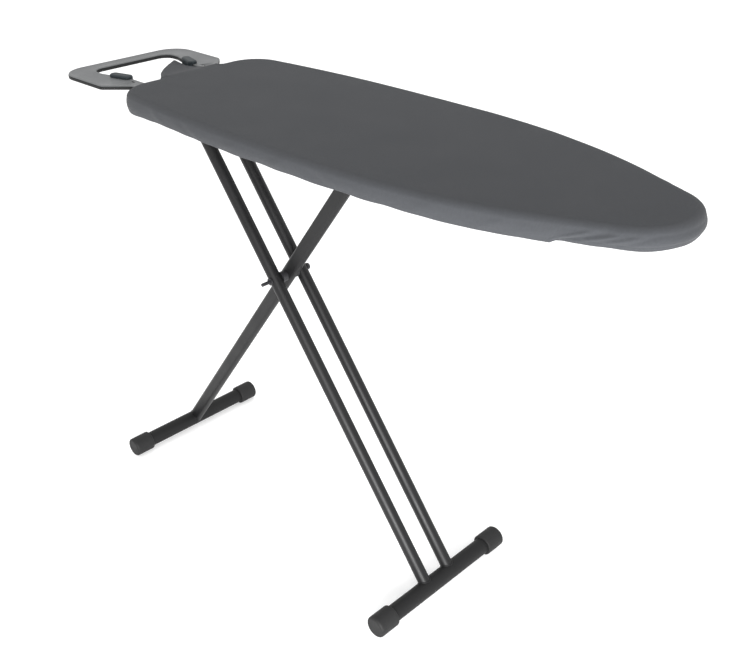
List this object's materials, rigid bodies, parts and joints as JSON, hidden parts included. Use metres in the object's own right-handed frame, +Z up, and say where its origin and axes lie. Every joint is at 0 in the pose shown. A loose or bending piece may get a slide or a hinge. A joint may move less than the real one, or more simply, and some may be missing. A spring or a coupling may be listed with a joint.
{
  "type": "ironing board",
  "caption": "Folding ironing board with a padded tapered top, a stamped iron rest at the heel and crossed tube legs on capped foot bars.",
  "frame": {"origin": "on the floor, midway between the iron rest's outer end and the board's nose, on the centre line", "axes": "+X towards the nose, +Y to the left, +Z up, standing open as in use"},
  "size_m": [1.35, 0.3922, 0.915],
  "materials": {
    "cover_fabric": "matte woven, dark grey",
    "felt": "matte needle felt",
    "panel_steel": "satin powder coat, charcoal",
    "charcoal_tube": "semi-gloss powder coat, charcoal",
    "foot_bar_coat": "matte powder coat, near black",
    "rest_plate": "satin powder coat, light grey",
    "silicone": "matte silicone, dark blue-grey",
    "foot_rubber": "matte rubber, near black",
    "black_plastic": "matte moulded",
    "black_steel": "black oxide",
    "zinc_hardware": "bright zinc plate"
  },
  "bodies": {
    "board": {"cover": "cover_fabric", "felt_pad": "felt", "mesh_panel": "panel_steel", "rim": "panel_steel", "rail_left": "panel_steel", "rail_right": "panel_steel", "rail_tie_rear": "panel_steel", "rail_tie_front": "panel_steel", "pivot_pin": "zinc_hardware", "pivot_spacer_left": "black_plastic", "pivot_spacer_right": "black_plastic", "iron_rest": "rest_plate", "rest_pad_left": "silicone", "rest_pad_right": "silicone", "rest_bracket_left": "zinc_hardware", "rest_bracket_right": "zinc_hardware", "rest_rivets": "zinc_hardware", "stay_1_left": "panel_steel", "stay_1_right": "panel_steel", "stay_2_left": "panel_steel", "stay_2_right": "panel_steel", "stay_3_left": "panel_steel", "stay_3_right": "panel_steel"},
    "twin_leg": {"twin_tube_left": "charcoal_tube", "twin_tube_right": "charcoal_tube", "twin_plug_left": "black_plastic", "twin_plug_right": "black_plastic", "front_foot_bar": "foot_bar_coat", "front_foot_cap_left": "foot_rubber", "front_foot_cap_right": "foot_rubber", "cross_bolt": "black_steel", "cross_washer": "black_plastic", "cap_nut": "black_steel", "cross_bush_left": "black_plastic", "cross_bush_right": "black_plastic"},
    "single_leg": {"single_leg_tube": "charcoal_tube", "axle_sleeve": "black_plastic", "cross_sleeve": "black_plastic", "single_plug": "black_plastic", "rear_foot_bar": "foot_bar_coat", "rear_foot_cap_left": "foot_rubber", "rear_foot_cap_right": "foot_rubber"},
    "slider": {"slider_axle": "zinc_hardware", "slider_shoe_left": "black_plastic", "slider_shoe_right": "black_plastic", "lever_spring": "zinc_hardware"},
    "lever": {"height_lever": "zinc_hardware", "lever_grip": "black_plastic", "lock_rod": "zinc_hardware"}
  },
  "joints": [
    {"name": "fold", "type": "hinge", "parent": "board", "child": "twin_leg", "pos_m": [-0.39135, 0, 0.87], "axis": [0, -1, 0], "range_deg": [0, 49.5]},
    {"name": "crossing", "type": "hinge", "parent": "twin_leg", "child": "single_leg", "pos_m": [-0.1545, 0, 0.5586], "axis": [0, -1, 0], "range_deg": [-99, 0]},
    {"name": "slider_pivot", "type": "hinge", "parent": "single_leg", "child": "slider", "pos_m": [0.08235, 0, 0.87], "axis": [0, -1, 0], "range_deg": [0, 49.5]},
    {"name": "lever_squeeze", "type": "hinge", "parent": "slider", "child": "lever", "pos_m": [0.08235, 0, 0.87], "axis": [0, -1, 0], "range_deg": [0, 8], "stiffness_Nm_per_rad": 1.5, "springref_deg": -17.19}
  ],
  "couplings": [
    {"joint": "crossing", "follows": "fold", "ratio": -2},
    {"joint": "slider_pivot", "follows": "fold", "ratio": 1}
  ]
}
